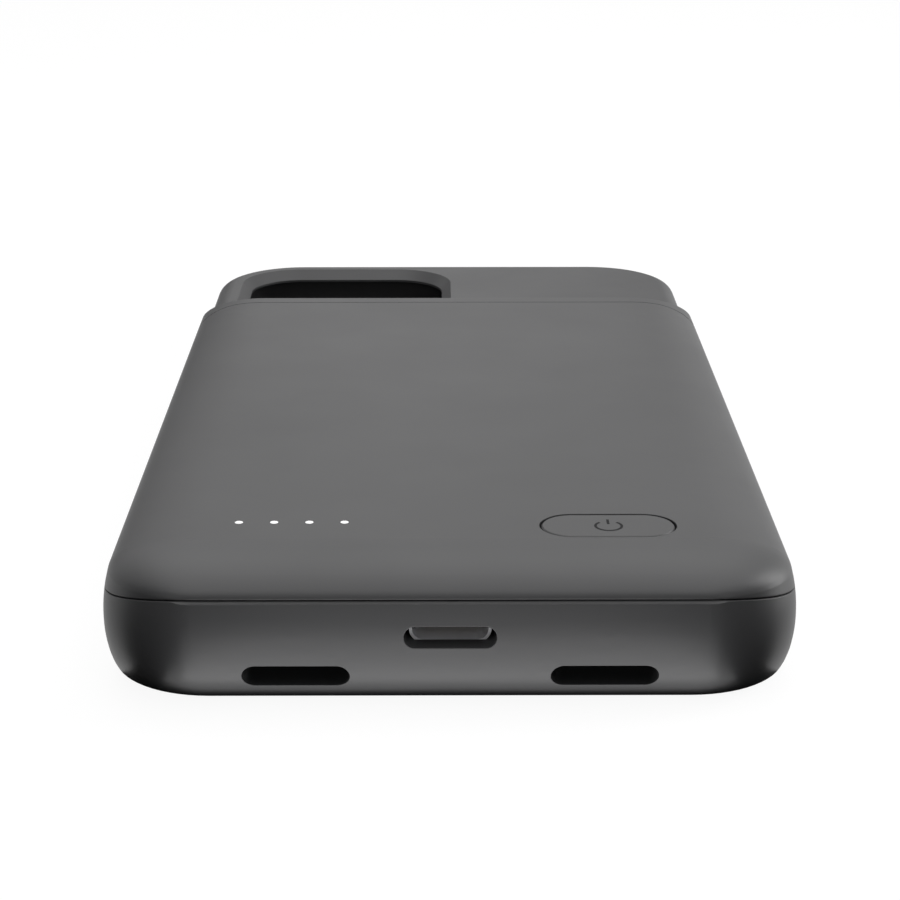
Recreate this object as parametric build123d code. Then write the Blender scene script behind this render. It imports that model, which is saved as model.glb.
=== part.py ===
from build123d import *
from math import asin, atan2, cos, degrees, sin
import os

# Battery charging case for a phone, lying on its front lip.
# X runs across the case, Y from the charging end to the camera end, Z up from the lip to the back.
# All sizes are in millimetres. Y is counted from the charging end until the pieces are written out.

# The phone that the case is made for
PHONE_LENGTH = 147.6
PHONE_WIDTH = 71.6
PHONE_THICKNESS = 7.8
PHONE_CORNER = 11.0
PHONE_CLEARANCE = 0.2
PHONE_GAP = 0.1

# Hard body: walls, floors and outline
SIDE_WALL = 2.5
TOP_WALL = 2.0
CHIN_DEPTH = 10.1
POCKET_END_WALL = 1.0
LIP_THICKNESS = 1.2
LIP_OVERLAP = 1.4
LIP_EDGE = 1.1
LIP_RISE = 0.4
TRAY_FLOOR = 1.0
COMPARTMENT_HEIGHT = 5.2
COVER_WALL = 1.2
CROWN_HEIGHT = 3.3
CROWN_WIDTH = 9.5
BELLY_HEIGHT = 7.8
CROWN_DRAW = 0.7
CROWN_CORNER = 10.1
LIP_CORNER = 11.6
END_UNDERCUT = 4.5
SIDE_UNDERCUT = 0.5
END_WALL = 2.5
FORM_STEPS = 2

# Far rim of the hard body, seam and cover skirt
RIM_WALL = 2.5
COVER_CORNER = 7.0
SEAM_DROP = 0.3
SEAM_FLAT = 28.0
SEAM_DIP = 1.8
SEAM_GAP = 0.2
SEAM_EDGE = 0.3
RAIL_WALL = 1.3
SKIRT_CLEARANCE = 0.1
SKIRT_WALL = 0.8
SKIRT_DROP = 2.5
CLIP_COUNT = 3
CLIP_PITCH = 35.0
CLIP_FIRST_Y = 25.0
CLIP_LENGTH = 8.0
CLIP_HEIGHT = 0.6
CLIP_REACH = 0.35
CLIP_CLEARANCE = 0.1

# Soft upper frame
SOFT_INSET = 0.2
SOFT_PANEL = 1.9
SOFT_EDGE = 2.8
SOFT_BAND = 1.0
SOFT_CORNER = 14.0
SOFT_DRAW = 0.6

# Camera window in the soft frame
WINDOW_WIDTH = 31.9
WINDOW_CORNER = 8.0
WINDOW_BEVEL = 1.5
WINDOW_X = -16.7
WINDOW_NEAR_MARGIN = 7.3
WINDOW_FAR_MARGIN = 5.6

# Side windows for the phone's own keys
KEY_WINDOW_HEIGHT = 5.6
RIGHT_KEYS_Y = 114.0
RIGHT_KEYS_LENGTH = 36.0
LEFT_KEY_Y = 111.0
LEFT_KEY_LENGTH = 26.0

# Speaker slots through the end wall
SLOT_LENGTH = 11.7
SLOT_HEIGHT = 2.95
SLOT_X = 16.7
SLOT_Z = 4.05

# Main board
BOARD_WIDTH = 62.0
BOARD_NEAR_Y = 3.2
BOARD_FAR_Y = 22.5
BOARD_THICKNESS = 0.8
BOARD_CORNER = 3.0

# Charging socket, half sunk in a notch at the board's near edge
SOCKET_WIDTH = 8.94
SOCKET_HEIGHT = 3.2
SOCKET_WALL = 0.33
SOCKET_LENGTH = 6.3
SOCKET_RECESS = 2.5
SOCKET_SINK = 0.48
SOCKET_CLEARANCE = 0.1
TONGUE_WIDTH = 6.7
TONGUE_THICKNESS = 0.7
TONGUE_SETBACK = 1.6
TONGUE_BASE = 1.2
PORT_WIDTH = 10.0
PORT_HEIGHT = 2.45

# Plug that stands in the phone pocket
PLUG_WIDTH = 8.25
PLUG_HEIGHT = 2.4
PLUG_REACH = 6.65
PLUG_WALL = 0.25
PLUG_SLOT_WIDTH = 6.7
PLUG_SLOT_HEIGHT = 0.8
PLUG_BODY_WIDTH = 11.0
PLUG_BODY_HEIGHT = 3.4
PLUG_BODY_LENGTH = 2.8
PLUG_BODY_CLEARANCE = 0.1
PLUG_BOARD_WIDTH = 18.6
PLUG_BOARD_LENGTH = 3.4
CAVITY_WIDTH = 19.0
CAVITY_LEDGE = 2.5
CAVITY_DEPTH = 1.8
LINK_PIN_SIZE = 0.5
LINK_PIN_X = 7.6
LINK_PIN_PITCH = 1.5
LINK_PIN_CLEARANCE = 0.05

# Status lights and their light guide
LED_COUNT = 4
LED_PITCH = 3.95
LED_LAST_X = -11.8
LED_Y = 15.4
LED_RADIUS = 0.46
LED_CHIP = 1.6
LED_CHIP_WIDTH = 0.8
LED_CHIP_HEIGHT = 0.6
GUIDE_BAR_WIDTH = 2.8
GUIDE_BAR_HEIGHT = 1.2
GUIDE_FOOT_SIZE = 1.4
GUIDE_CLEARANCE = 0.02
GUIDE_FOOT_GAP = 0.1

# Power key and its switch
BUTTON_LENGTH = 15.4
BUTTON_WIDTH = 7.5
BUTTON_GAP = 0.2
BUTTON_X = 17.7
BUTTON_Y = 14.2
BUTTON_EDGE = 0.2
BUTTON_FLANGE = 0.9
BUTTON_FLANGE_HEIGHT = 0.8
BUTTON_PLAY = 0.08
BUTTON_POST_RADIUS = 1.3
BUTTON_TRAVEL = 0.3
SWITCH_SIZE = 5.0
SWITCH_HEIGHT = 1.5
SWITCH_FLOOR = 0.3
PLUNGER_RADIUS = 1.2
PLUNGER_RISE = 0.5
PLUNGER_CLEARANCE = 0.05
PLUNGER_STOP = 0.1

# Battery pack
CELL_LENGTH = 83.0
CELL_WIDTH = 62.0
CELL_THICKNESS = 4.6
CELL_EDGE = 1.2
CELL_FAR_GAP = 1.0
LEAD_ROOM = 5.1
TAPE_THICKNESS = 0.15
TAPE_WIDTH = 12.0
TAPE_X = 20.0
PAD_LENGTH = 60.0
PAD_WIDTH = 46.0
PAD_CORNER = 3.0
TAB_WIDTH = 4.0
TAB_HEIGHT = 2.0
TAB_LENGTH = 0.3
TAB_X = 10.0
PROTECTION_WIDTH = 30.0
PROTECTION_HEIGHT = 3.6
PROTECTION_THICKNESS = 0.8

# Parts on the main board
CHIP_SIZE = 4.0
CHIP_HEIGHT = 0.9
CHIP_X = -3.5
CHIP_Y = 13.8
COIL_SIZE = 6.0
COIL_HEIGHT = 2.8
COIL_EDGE = 0.8
COIL_X = 4.0
COIL_Y = 13.0
CAPACITOR_LENGTH = 2.0
CAPACITOR_WIDTH = 1.2
CAPACITOR_HEIGHT = 1.2
CAPACITOR_PITCH = 2.4
CAPACITOR_COUNT = 4
CAPACITOR_X = -3.5
CAPACITOR_Y = 10.3
CONNECTOR_WIDTH = 6.0
CONNECTOR_LENGTH = 4.0
CONNECTOR_HEIGHT = 2.6
LEAD_RADIUS = 0.5
LEAD_PITCH = 2.4
SCREW_X = 28.0
SCREW_Y = 7.0
SCREW_RADIUS = 0.8
SCREW_LENGTH = 3.0
SCREW_HEAD_RADIUS = 1.4
SCREW_HEAD_HEIGHT = 0.9
SCREW_CLEARANCE = 0.02
SCREW_CROSS = 0.35

# Sizes that follow from the ones above
HALF_WIDTH = PHONE_WIDTH / 2 + PHONE_CLEARANCE + SIDE_WALL
CASE_LENGTH = CHIN_DEPTH + PHONE_LENGTH + 2 * PHONE_CLEARANCE + TOP_WALL
POCKET_TOP = LIP_THICKNESS + PHONE_THICKNESS + PHONE_GAP
PHONE_MIDDLE = LIP_THICKNESS + (PHONE_THICKNESS + PHONE_GAP) / 2
TRAY_TOP = POCKET_TOP + TRAY_FLOOR
COVER_INSIDE = TRAY_TOP + COMPARTMENT_HEIGHT
CASE_THICKNESS = COVER_INSIDE + COVER_WALL
CROWN_BASE = CASE_THICKNESS - CROWN_HEIGHT
CROWN_HALF_WIDTH = HALF_WIDTH - CROWN_DRAW
PANEL_TOP = POCKET_TOP + SOFT_PANEL
SOFT_HALF_WIDTH = HALF_WIDTH - SOFT_INSET
BOARD_TOP = TRAY_TOP + BOARD_THICKNESS
SOCKET_Z = TRAY_TOP + SOCKET_SINK - SOCKET_HEIGHT / 2
CELL_BOTTOM = TRAY_TOP + TAPE_THICKNESS
CELL_TOP = CELL_BOTTOM + CELL_THICKNESS
PROTECTION_NEAR_Y = BOARD_FAR_Y + LEAD_ROOM
PROTECTION_FAR_Y = PROTECTION_NEAR_Y + PROTECTION_THICKNESS
CELL_NEAR_Y = PROTECTION_FAR_Y + TAB_LENGTH
CELL_FAR_Y = CELL_NEAR_Y + CELL_LENGTH
CELL_Y = CELL_NEAR_Y + CELL_LENGTH / 2
RIM_Y = CELL_FAR_Y + CELL_FAR_GAP + RIM_WALL
COVER_FAR_Y = RIM_Y - RIM_WALL - SEAM_GAP
WINDOW_LENGTH = CASE_LENGTH - RIM_Y - WINDOW_NEAR_MARGIN - WINDOW_FAR_MARGIN
PLUNGER_TOP = BOARD_TOP + SWITCH_HEIGHT + PLUNGER_RISE
LED_PLACES = [(LED_LAST_X - LED_PITCH * number, LED_Y) for number in range(LED_COUNT)]


# Shared forms

def near_plan(half_width, near_y, far_y, corner, height):
    """Plan outline at one height, square at the far end and rounded at the near end."""
    outline = Pos(0, (near_y + far_y) / 2, height) * Rectangle(2 * half_width, far_y - near_y)
    return fillet(outline.vertices().group_by(Axis.Y)[0], corner)


def far_plan(half_width, near_y, far_y, corner, height):
    """Plan outline at one height, square at the near end and rounded at the far end."""
    outline = Pos(0, (near_y + far_y) / 2, height) * Rectangle(2 * half_width, far_y - near_y)
    return fillet(outline.vertices().group_by(Axis.Y)[-1], corner)


def rounded_block(half_width, near_y, far_y, corner, bottom, top):
    """Upright block, rounded at all four corners in plan."""
    outline = Pos(0, (near_y + far_y) / 2, bottom) * RectangleRounded(
        2 * half_width, far_y - near_y, corner
    )
    return extrude(outline, top - bottom)


def block(x_span, y_span, z_span):
    """Plain block between pairs of limits."""
    sizes = [high - low for low, high in (x_span, y_span, z_span)]
    middle = [(low + high) / 2 for low, high in (x_span, y_span, z_span)]
    return Pos(*middle) * Box(*sizes)


def pill_along_y(length, height, x, z, near_y, far_y):
    """Pill-shaped bar that runs along Y, with its long side across the case."""
    outline = Plane((x, near_y, z), x_dir=(1, 0, 0), z_dir=(0, 1, 0)) * SlotOverall(length, height)
    return extrude(outline, far_y - near_y)


def pill_up(length, width, x, y, bottom, top):
    """Pill-shaped bar that stands along Z, with its long side across the case."""
    return extrude(Pos(x, y, bottom) * SlotOverall(length, width), top - bottom)


def rod_up(radius, x, y, bottom, top):
    """Round bar that stands along Z."""
    return extrude(Pos(x, y, bottom) * Circle(radius), top - bottom)


def post_up(size, x, y, bottom, top):
    """Square bar that stands along Z."""
    return extrude(Pos(x, y, bottom) * Rectangle(size, size), top - bottom)


def draw_in(height, undercut):
    """How far the hard body's wall stands inside its widest line at one height."""
    if height < BELLY_HEIGHT:
        return undercut * (1 - height / BELLY_HEIGHT) ** 2
    return CROWN_DRAW * ((height - BELLY_HEIGHT) / (CROWN_BASE - BELLY_HEIGHT)) ** 2


def body_form():
    """Hard body below the crown: widest at the belly, drawn in to the crown and far more to the lip."""
    below = [LIP_RISE + (BELLY_HEIGHT - LIP_RISE) * step / FORM_STEPS for step in range(FORM_STEPS)]
    above = [BELLY_HEIGHT + (CROWN_BASE - BELLY_HEIGHT) * step / FORM_STEPS for step in range(FORM_STEPS + 1)]
    sections = []
    for height in below + above:
        corner = LIP_CORNER + (CROWN_CORNER - LIP_CORNER) * height / CROWN_BASE
        half_width = HALF_WIDTH - draw_in(height, SIDE_UNDERCUT)
        near_y = draw_in(height, END_UNDERCUT)
        sections.append(near_plan(half_width, near_y, RIM_Y, corner, height))
    return loft(sections)


def body_lip():
    """Sloping edge under the hard body, down to the face that the case lies on."""
    half_width = HALF_WIDTH - draw_in(LIP_RISE, SIDE_UNDERCUT) - LIP_EDGE
    near_y = draw_in(LIP_RISE, END_UNDERCUT) + LIP_EDGE
    corner = LIP_CORNER + (CROWN_CORNER - LIP_CORNER) * LIP_RISE / CROWN_BASE - LIP_EDGE
    slope = extrude(near_plan(half_width, near_y, RIM_Y, corner, 0), LIP_RISE, taper=lip_taper())
    return slope & block((-HALF_WIDTH, HALF_WIDTH), (0, RIM_Y), (0, LIP_RISE))


def lip_taper():
    """Angle at which the sloping edges under the case widen upwards."""
    return -degrees(atan2(LIP_EDGE, LIP_RISE))


def crown_form(inset, far_y):
    """Pillow on the hard body: an elliptic shoulder on three sides, in line with the wall, round a flat top.

    Its long sides are swept in two lengths that meet where the cover's far corners begin.
    """
    half_width = CROWN_HALF_WIDTH - inset
    near_y = CROWN_DRAW + inset
    width = CROWN_WIDTH - inset
    height = CROWN_HEIGHT - inset
    corner = CROWN_CORNER - inset
    wall_lean = 2 * CROWN_DRAW / (CROWN_BASE - BELLY_HEIGHT) * height / width
    start = asin(wall_lean / (1 - wall_lean))
    long_axis = width / cos(start)
    short_axis = height / (1 - sin(start))
    bend_y = COVER_FAR_Y - COVER_CORNER
    corners = [(half_width, bend_y), (half_width, near_y), (-half_width, near_y), (-half_width, bend_y)]
    run = FilletPolyline(*[(x, y, CROWN_BASE) for x, y in corners], radius=corner)
    right_end = Line((half_width, far_y, CROWN_BASE), (half_width, bend_y, CROWN_BASE))
    left_end = Line((-half_width, bend_y, CROWN_BASE), (-half_width, far_y, CROWN_BASE))
    shoulder = EllipticalCenterArc(
        (-width, height - short_axis), long_axis, short_axis, degrees(start), arc_size=90 - degrees(start)
    )
    inner_edge = Polyline((-width, height), (-width, 0), (0, 0))
    section_plane = Plane((half_width, far_y, CROWN_BASE), x_dir=(1, 0, 0), z_dir=(0, -1, 0))
    path = [*right_end.edges(), *run.edges(), *left_end.edges()]
    ring = sweep(section_plane * make_face([shoulder, inner_edge]), path=path)
    flat_top = near_plan(half_width - width, near_y + width, far_y, corner - width, CROWN_BASE)
    return ring + extrude(flat_top, height)


def above_seam(lift, far_y):
    """All that lies above the seam, which is level along the end wall and falls away to both sides."""
    level = CROWN_BASE - SEAM_DROP + lift
    low = level - SEAM_DIP
    top = CASE_THICKNESS + CROWN_HEIGHT
    reach = HALF_WIDTH - SEAM_FLAT
    radius = (reach**2 + SEAM_DIP**2) / (2 * SEAM_DIP)
    turn = degrees(asin(reach / radius))
    left = CenterArc((-SEAM_FLAT, level - radius), radius, 90, turn)
    middle = Line((-SEAM_FLAT, level), (SEAM_FLAT, level))
    right = CenterArc((SEAM_FLAT, level - radius), radius, 90 - turn, turn)
    outside = Polyline((-HALF_WIDTH, low), (-HALF_WIDTH, top), (HALF_WIDTH, top), (HALF_WIDTH, low))
    plane = Plane((0, far_y, 0), x_dir=(1, 0, 0), z_dir=(0, -1, 0))
    return extrude(plane * make_face([left, middle, right, outside]), far_y + SEAM_GAP)


def cover_outline(grow, bottom, top):
    """Upright block in the cover's outline, rounded at the far corners, or in that outline grown by a gap."""
    outline = far_plan(HALF_WIDTH + grow, -grow, COVER_FAR_Y + grow, COVER_CORNER + grow, bottom)
    return extrude(outline, top - bottom)


def seam_bevel():
    """Bar on edge that takes the sharp corner off the end wall under the seam."""
    level = CROWN_BASE - SEAM_DROP
    side = 2**0.5 * SEAM_EDGE
    return Pos(0, draw_in(level, END_UNDERCUT), level) * Rot(45, 0, 0) * Box(2 * HALF_WIDTH, side, side)


def phone_pocket():
    """Space for the phone, with the opening that its screen shows through."""
    pocket_half = PHONE_WIDTH / 2 + PHONE_CLEARANCE
    near_y = CHIN_DEPTH
    far_y = CASE_LENGTH - TOP_WALL
    corner = PHONE_CORNER + PHONE_CLEARANCE
    pocket = rounded_block(pocket_half, near_y, far_y, corner, LIP_THICKNESS, POCKET_TOP)
    screen = rounded_block(
        pocket_half - LIP_OVERLAP,
        near_y + LIP_OVERLAP,
        far_y - LIP_OVERLAP,
        corner - LIP_OVERLAP,
        0,
        LIP_THICKNESS,
    )
    return pocket + screen


def key_windows():
    """Side windows over the phone's keys, a long one on the right and a short one on the left."""
    places = ((1, RIGHT_KEYS_Y, RIGHT_KEYS_LENGTH), (-1, LEFT_KEY_Y, LEFT_KEY_LENGTH))
    windows = []
    for side, middle_y, length in places:
        start_x = side * (HALF_WIDTH - 2 * SIDE_WALL)
        plane = Plane((start_x, middle_y, PHONE_MIDDLE), x_dir=(0, 1, 0), z_dir=(side, 0, 0))
        windows.append(extrude(plane * SlotOverall(length, KEY_WINDOW_HEIGHT), 3 * SIDE_WALL))
    return windows


def clip_bars(reach, grow):
    """Short bars along both long sides, as the cover's hooks or, grown, as their pockets."""
    skirt_face = CROWN_HALF_WIDTH - RAIL_WALL - SKIRT_CLEARANCE
    low = CROWN_BASE - SKIRT_DROP
    bars = []
    for side in (1, -1):
        for number in range(CLIP_COUNT):
            middle_y = CLIP_FIRST_Y + CLIP_PITCH * number
            x_limits = sorted((side * (skirt_face - SKIRT_WALL / 2), side * (skirt_face + reach)))
            y_limits = (middle_y - CLIP_LENGTH / 2 - grow, middle_y + CLIP_LENGTH / 2 + grow)
            bars.append(block(x_limits, y_limits, (low - grow, low + CLIP_HEIGHT + grow)))
    return bars


# Moulded shells

def lower_housing():
    body = body_form() + body_lip()
    opening = cover_outline(SEAM_GAP, TRAY_TOP, CASE_THICKNESS)
    body -= above_seam(0, RIM_Y - RIM_WALL) & opening
    body -= seam_bevel()
    rim_span = (RIM_Y - RIM_WALL - COVER_CORNER, RIM_Y)
    rim = crown_form(0, RIM_Y) & block((-HALF_WIDTH, HALF_WIDTH), rim_span, (CROWN_BASE, CASE_THICKNESS))
    body += rim - opening
    compartment = near_plan(
        CROWN_HALF_WIDTH - RAIL_WALL,
        CROWN_DRAW + RAIL_WALL,
        RIM_Y - RIM_WALL,
        CROWN_CORNER - RAIL_WALL,
        TRAY_TOP,
    )
    body -= extrude(compartment, CASE_THICKNESS - TRAY_TOP) & opening
    body -= phone_pocket()
    body -= chin_cavity()
    body -= pill_along_y(PORT_WIDTH, PORT_HEIGHT, 0, SOCKET_Z, -SIDE_WALL, CHIN_DEPTH / 2)
    for side in (1, -1):
        body -= pill_along_y(
            SLOT_LENGTH, SLOT_HEIGHT, side * SLOT_X, SLOT_Z, -SIDE_WALL, CHIN_DEPTH + LIP_OVERLAP
        )
        body -= rod_up(
            SCREW_RADIUS + SCREW_CLEARANCE, side * SCREW_X, SCREW_Y, TRAY_TOP - SCREW_LENGTH, TRAY_TOP
        )
    for window in key_windows():
        body -= window
    for clip_pocket in clip_bars(CLIP_REACH + CLIP_CLEARANCE, CLIP_CLEARANCE):
        body -= clip_pocket
    return body


def chin_cavity():
    """Room in the charging end for the socket, the plug's board and the plug's moulded body."""
    ledge = PHONE_MIDDLE - BOARD_THICKNESS / 2
    floor = ledge - CAVITY_DEPTH
    upper_half = CAVITY_WIDTH / 2
    lower_half = CAVITY_WIDTH / 2 - CAVITY_LEDGE
    far_y = CHIN_DEPTH - POCKET_END_WALL
    upper_near = draw_in(ledge, END_UNDERCUT) + END_WALL
    lower_near = draw_in(floor, END_UNDERCUT) + END_WALL
    cavity = block((-upper_half, upper_half), (upper_near, far_y), (ledge, TRAY_TOP))
    cavity += block((-lower_half, lower_half), (lower_near, far_y), (floor, ledge))
    mouth = pill_along_y(
        SOCKET_WIDTH + 2 * SOCKET_CLEARANCE,
        SOCKET_HEIGHT + 2 * SOCKET_CLEARANCE,
        0,
        SOCKET_Z,
        socket_front() - SOCKET_CLEARANCE,
        CHIN_DEPTH / 2,
    )
    plug_way = pill_along_y(
        PLUG_BODY_WIDTH + 2 * PLUG_BODY_CLEARANCE,
        PLUG_BODY_HEIGHT + 2 * PLUG_BODY_CLEARANCE,
        0,
        PHONE_MIDDLE,
        CHIN_DEPTH / 2,
        CHIN_DEPTH,
    )
    return cavity + mouth + plug_way


def socket_front():
    """Y of the socket's mouth, set back from the end wall."""
    return draw_in(SOCKET_Z, END_UNDERCUT) + SOCKET_RECESS


def back_cover():
    skirt_half = CROWN_HALF_WIDTH - RAIL_WALL - SKIRT_CLEARANCE
    skirt_near = CROWN_DRAW + RAIL_WALL + SKIRT_CLEARANCE
    skirt_corner = CROWN_CORNER - RAIL_WALL - SKIRT_CLEARANCE
    skirt_low = CROWN_BASE - SKIRT_DROP
    skirt_outer = near_plan(skirt_half, skirt_near, COVER_FAR_Y, skirt_corner, skirt_low)
    skirt_inner = near_plan(
        skirt_half - SKIRT_WALL,
        skirt_near + SKIRT_WALL,
        COVER_FAR_Y,
        skirt_corner - SKIRT_WALL,
        skirt_low,
    )
    skirt = extrude(skirt_outer - skirt_inner, CASE_THICKNESS - skirt_low)
    over = cover_outline(0, CROWN_BASE, CASE_THICKNESS)
    under = cover_outline(0, skirt_low, CROWN_BASE)
    crown = crown_form(0, RIM_Y) & over
    cover = crown + (body_form() & above_seam(SEAM_GAP, COVER_FAR_Y) & under)
    cover -= crown_form(COVER_WALL, RIM_Y)
    cover -= extrude(skirt_inner, SKIRT_DROP)
    cover += skirt & crown
    cover += skirt & under
    for hook in clip_bars(CLIP_REACH, 0):
        cover += hook
    cover -= pill_up(BUTTON_LENGTH, BUTTON_WIDTH, BUTTON_X, BUTTON_Y, TRAY_TOP, CASE_THICKNESS)
    for x, y in LED_PLACES:
        cover -= rod_up(LED_RADIUS + GUIDE_CLEARANCE, x, y, TRAY_TOP, CASE_THICKNESS)
    return cover


def soft_form():
    """Outside of the soft frame: drawn in below an upright band, and rounded over above it."""
    band_start = PANEL_TOP - SOFT_EDGE - SOFT_BAND
    wall_height = band_start - LIP_RISE
    half_width = SOFT_HALF_WIDTH - SOFT_DRAW
    far_y = CASE_LENGTH - SOFT_DRAW
    corner = SOFT_CORNER - SOFT_DRAW
    lip_plan = far_plan(half_width - LIP_EDGE, RIM_Y, far_y - LIP_EDGE, corner - LIP_EDGE, 0)
    wall_plan = far_plan(half_width, RIM_Y, far_y, corner, LIP_RISE)
    band_plan = far_plan(SOFT_HALF_WIDTH, RIM_Y, CASE_LENGTH, SOFT_CORNER, band_start)
    lip = extrude(lip_plan, LIP_RISE, taper=lip_taper())
    wall = extrude(wall_plan, wall_height, taper=-degrees(atan2(SOFT_DRAW, wall_height)))
    beyond_rim = block((-HALF_WIDTH, HALF_WIDTH), (RIM_Y, CASE_LENGTH), (0, PANEL_TOP))
    return ((lip + wall) & beyond_rim) + extrude(band_plan, PANEL_TOP - band_start)


def soft_top_frame():
    frame = soft_form()
    outer_edges = frame.faces().sort_by(Axis.Z)[-1].edges().filter_by(
        lambda edge: edge.center().Y > RIM_Y + SOFT_EDGE
    )
    frame = fillet(outer_edges, SOFT_EDGE)
    frame -= phone_pocket()
    for window in key_windows():
        frame -= window
    return frame - camera_window()


def camera_window():
    """Through hole with a sloping bevel round its outer edge."""
    middle_y = CASE_LENGTH - WINDOW_FAR_MARGIN - WINDOW_LENGTH / 2
    opening = RectangleRounded(WINDOW_WIDTH, WINDOW_LENGTH, WINDOW_CORNER)
    rim = RectangleRounded(
        WINDOW_WIDTH + 2 * WINDOW_BEVEL, WINDOW_LENGTH + 2 * WINDOW_BEVEL, WINDOW_CORNER + WINDOW_BEVEL
    )
    hole = extrude(Pos(WINDOW_X, middle_y, POCKET_TOP) * opening, SOFT_PANEL)
    bevel_low = Pos(WINDOW_X, middle_y, PANEL_TOP - WINDOW_BEVEL) * opening
    bevel_high = Pos(WINDOW_X, middle_y, PANEL_TOP) * rim
    return hole + loft([bevel_low, bevel_high])


# Charging socket and plug

def socket_shell():
    front = socket_front()
    back = front + SOCKET_LENGTH
    return pill_along_y(SOCKET_WIDTH, SOCKET_HEIGHT, 0, SOCKET_Z, front, back) - socket_room(front, back)


def socket_room(near_y, far_y):
    """A length of the room inside the socket's shell."""
    width = SOCKET_WIDTH - 2 * SOCKET_WALL
    height = SOCKET_HEIGHT - 2 * SOCKET_WALL
    return pill_along_y(width, height, 0, SOCKET_Z, near_y, far_y)


def socket_tongue():
    back = socket_front() + SOCKET_LENGTH
    base = socket_room(back - TONGUE_BASE, back)
    blade = block(
        (-TONGUE_WIDTH / 2, TONGUE_WIDTH / 2),
        (socket_front() + TONGUE_SETBACK, back - TONGUE_BASE),
        (SOCKET_Z - TONGUE_THICKNESS / 2, SOCKET_Z + TONGUE_THICKNESS / 2),
    )
    return base + blade


def plug_shell():
    root_y = CHIN_DEPTH - PLUG_BODY_LENGTH / 2
    tip_y = CHIN_DEPTH + PLUG_REACH
    outer = pill_along_y(PLUG_WIDTH, PLUG_HEIGHT, 0, PHONE_MIDDLE, root_y, tip_y)
    inner = pill_along_y(
        PLUG_WIDTH - 2 * PLUG_WALL, PLUG_HEIGHT - 2 * PLUG_WALL, 0, PHONE_MIDDLE, root_y, tip_y
    )
    return outer - inner


def plug_insert():
    root_y = CHIN_DEPTH - PLUG_BODY_LENGTH / 2
    tip_y = CHIN_DEPTH + PLUG_REACH
    core = pill_along_y(
        PLUG_WIDTH - 2 * PLUG_WALL, PLUG_HEIGHT - 2 * PLUG_WALL, 0, PHONE_MIDDLE, root_y, tip_y
    )
    slot = block(
        (-PLUG_SLOT_WIDTH / 2, PLUG_SLOT_WIDTH / 2),
        (CHIN_DEPTH, tip_y),
        (PHONE_MIDDLE - PLUG_SLOT_HEIGHT / 2, PHONE_MIDDLE + PLUG_SLOT_HEIGHT / 2),
    )
    return core - slot


def plug_body():
    back = CHIN_DEPTH - PLUG_BODY_LENGTH
    root_y = CHIN_DEPTH - PLUG_BODY_LENGTH / 2
    moulding = pill_along_y(PLUG_BODY_WIDTH, PLUG_BODY_HEIGHT, 0, PHONE_MIDDLE, back, CHIN_DEPTH)
    return moulding - pill_along_y(PLUG_WIDTH, PLUG_HEIGHT, 0, PHONE_MIDDLE, root_y, CHIN_DEPTH)


def plug_board():
    far_y = CHIN_DEPTH - PLUG_BODY_LENGTH
    low = PHONE_MIDDLE - BOARD_THICKNESS / 2
    board = block(
        (-PLUG_BOARD_WIDTH / 2, PLUG_BOARD_WIDTH / 2),
        (far_y - PLUG_BOARD_LENGTH, far_y),
        (low, low + BOARD_THICKNESS),
    )
    for x, y in link_places():
        board -= post_up(LINK_PIN_SIZE + 2 * LINK_PIN_CLEARANCE, x, y, low, low + BOARD_THICKNESS)
    return board


def link_places():
    """Places of the pins between the plug's board and the main board, two on each side of the socket."""
    middle_y = CHIN_DEPTH - PLUG_BODY_LENGTH - PLUG_BOARD_LENGTH / 2
    rows = (middle_y - LINK_PIN_PITCH / 2, middle_y + LINK_PIN_PITCH / 2)
    return [(side * LINK_PIN_X, y) for side in (1, -1) for y in rows]


def link_pins():
    low = PHONE_MIDDLE - BOARD_THICKNESS / 2
    return [post_up(LINK_PIN_SIZE, x, y, low, BOARD_TOP) for x, y in link_places()]


# Main board and the parts on it

def main_board():
    board = rounded_block(BOARD_WIDTH / 2, BOARD_NEAR_Y, BOARD_FAR_Y, BOARD_CORNER, TRAY_TOP, BOARD_TOP)
    notch_half = SOCKET_WIDTH / 2 + SOCKET_CLEARANCE
    notch_far = socket_front() + SOCKET_LENGTH + SOCKET_CLEARANCE
    board -= block((-notch_half, notch_half), (BOARD_NEAR_Y, notch_far), (TRAY_TOP, BOARD_TOP))
    for x, y in link_places():
        board -= post_up(LINK_PIN_SIZE + 2 * LINK_PIN_CLEARANCE, x, y, TRAY_TOP, BOARD_TOP)
    for side in (1, -1):
        board -= rod_up(SCREW_RADIUS + SCREW_CLEARANCE, side * SCREW_X, SCREW_Y, TRAY_TOP, BOARD_TOP)
    return board


def led_chips():
    chips = []
    for x, y in LED_PLACES:
        x_span = (x - LED_CHIP / 2, x + LED_CHIP / 2)
        y_span = (y - LED_CHIP_WIDTH / 2, y + LED_CHIP_WIDTH / 2)
        chips.append(block(x_span, y_span, (BOARD_TOP, BOARD_TOP + LED_CHIP_HEIGHT)))
    return chips


def light_guide():
    bar_length = LED_PITCH * LED_COUNT
    bar_x = LED_LAST_X - LED_PITCH * (LED_COUNT - 1) / 2
    bar_low = COVER_INSIDE - GUIDE_BAR_HEIGHT
    guide = pill_up(bar_length, GUIDE_BAR_WIDTH, bar_x, LED_Y, bar_low, COVER_INSIDE)
    for x, y in LED_PLACES:
        guide += rod_up(LED_RADIUS, x, y, COVER_INSIDE, CASE_THICKNESS)
        guide += post_up(GUIDE_FOOT_SIZE, x, y, BOARD_TOP + LED_CHIP_HEIGHT + GUIDE_FOOT_GAP, bar_low)
    return guide


def charger_chip():
    x_span = (CHIP_X - CHIP_SIZE / 2, CHIP_X + CHIP_SIZE / 2)
    y_span = (CHIP_Y - CHIP_SIZE / 2, CHIP_Y + CHIP_SIZE / 2)
    return block(x_span, y_span, (BOARD_TOP, BOARD_TOP + CHIP_HEIGHT))


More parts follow.
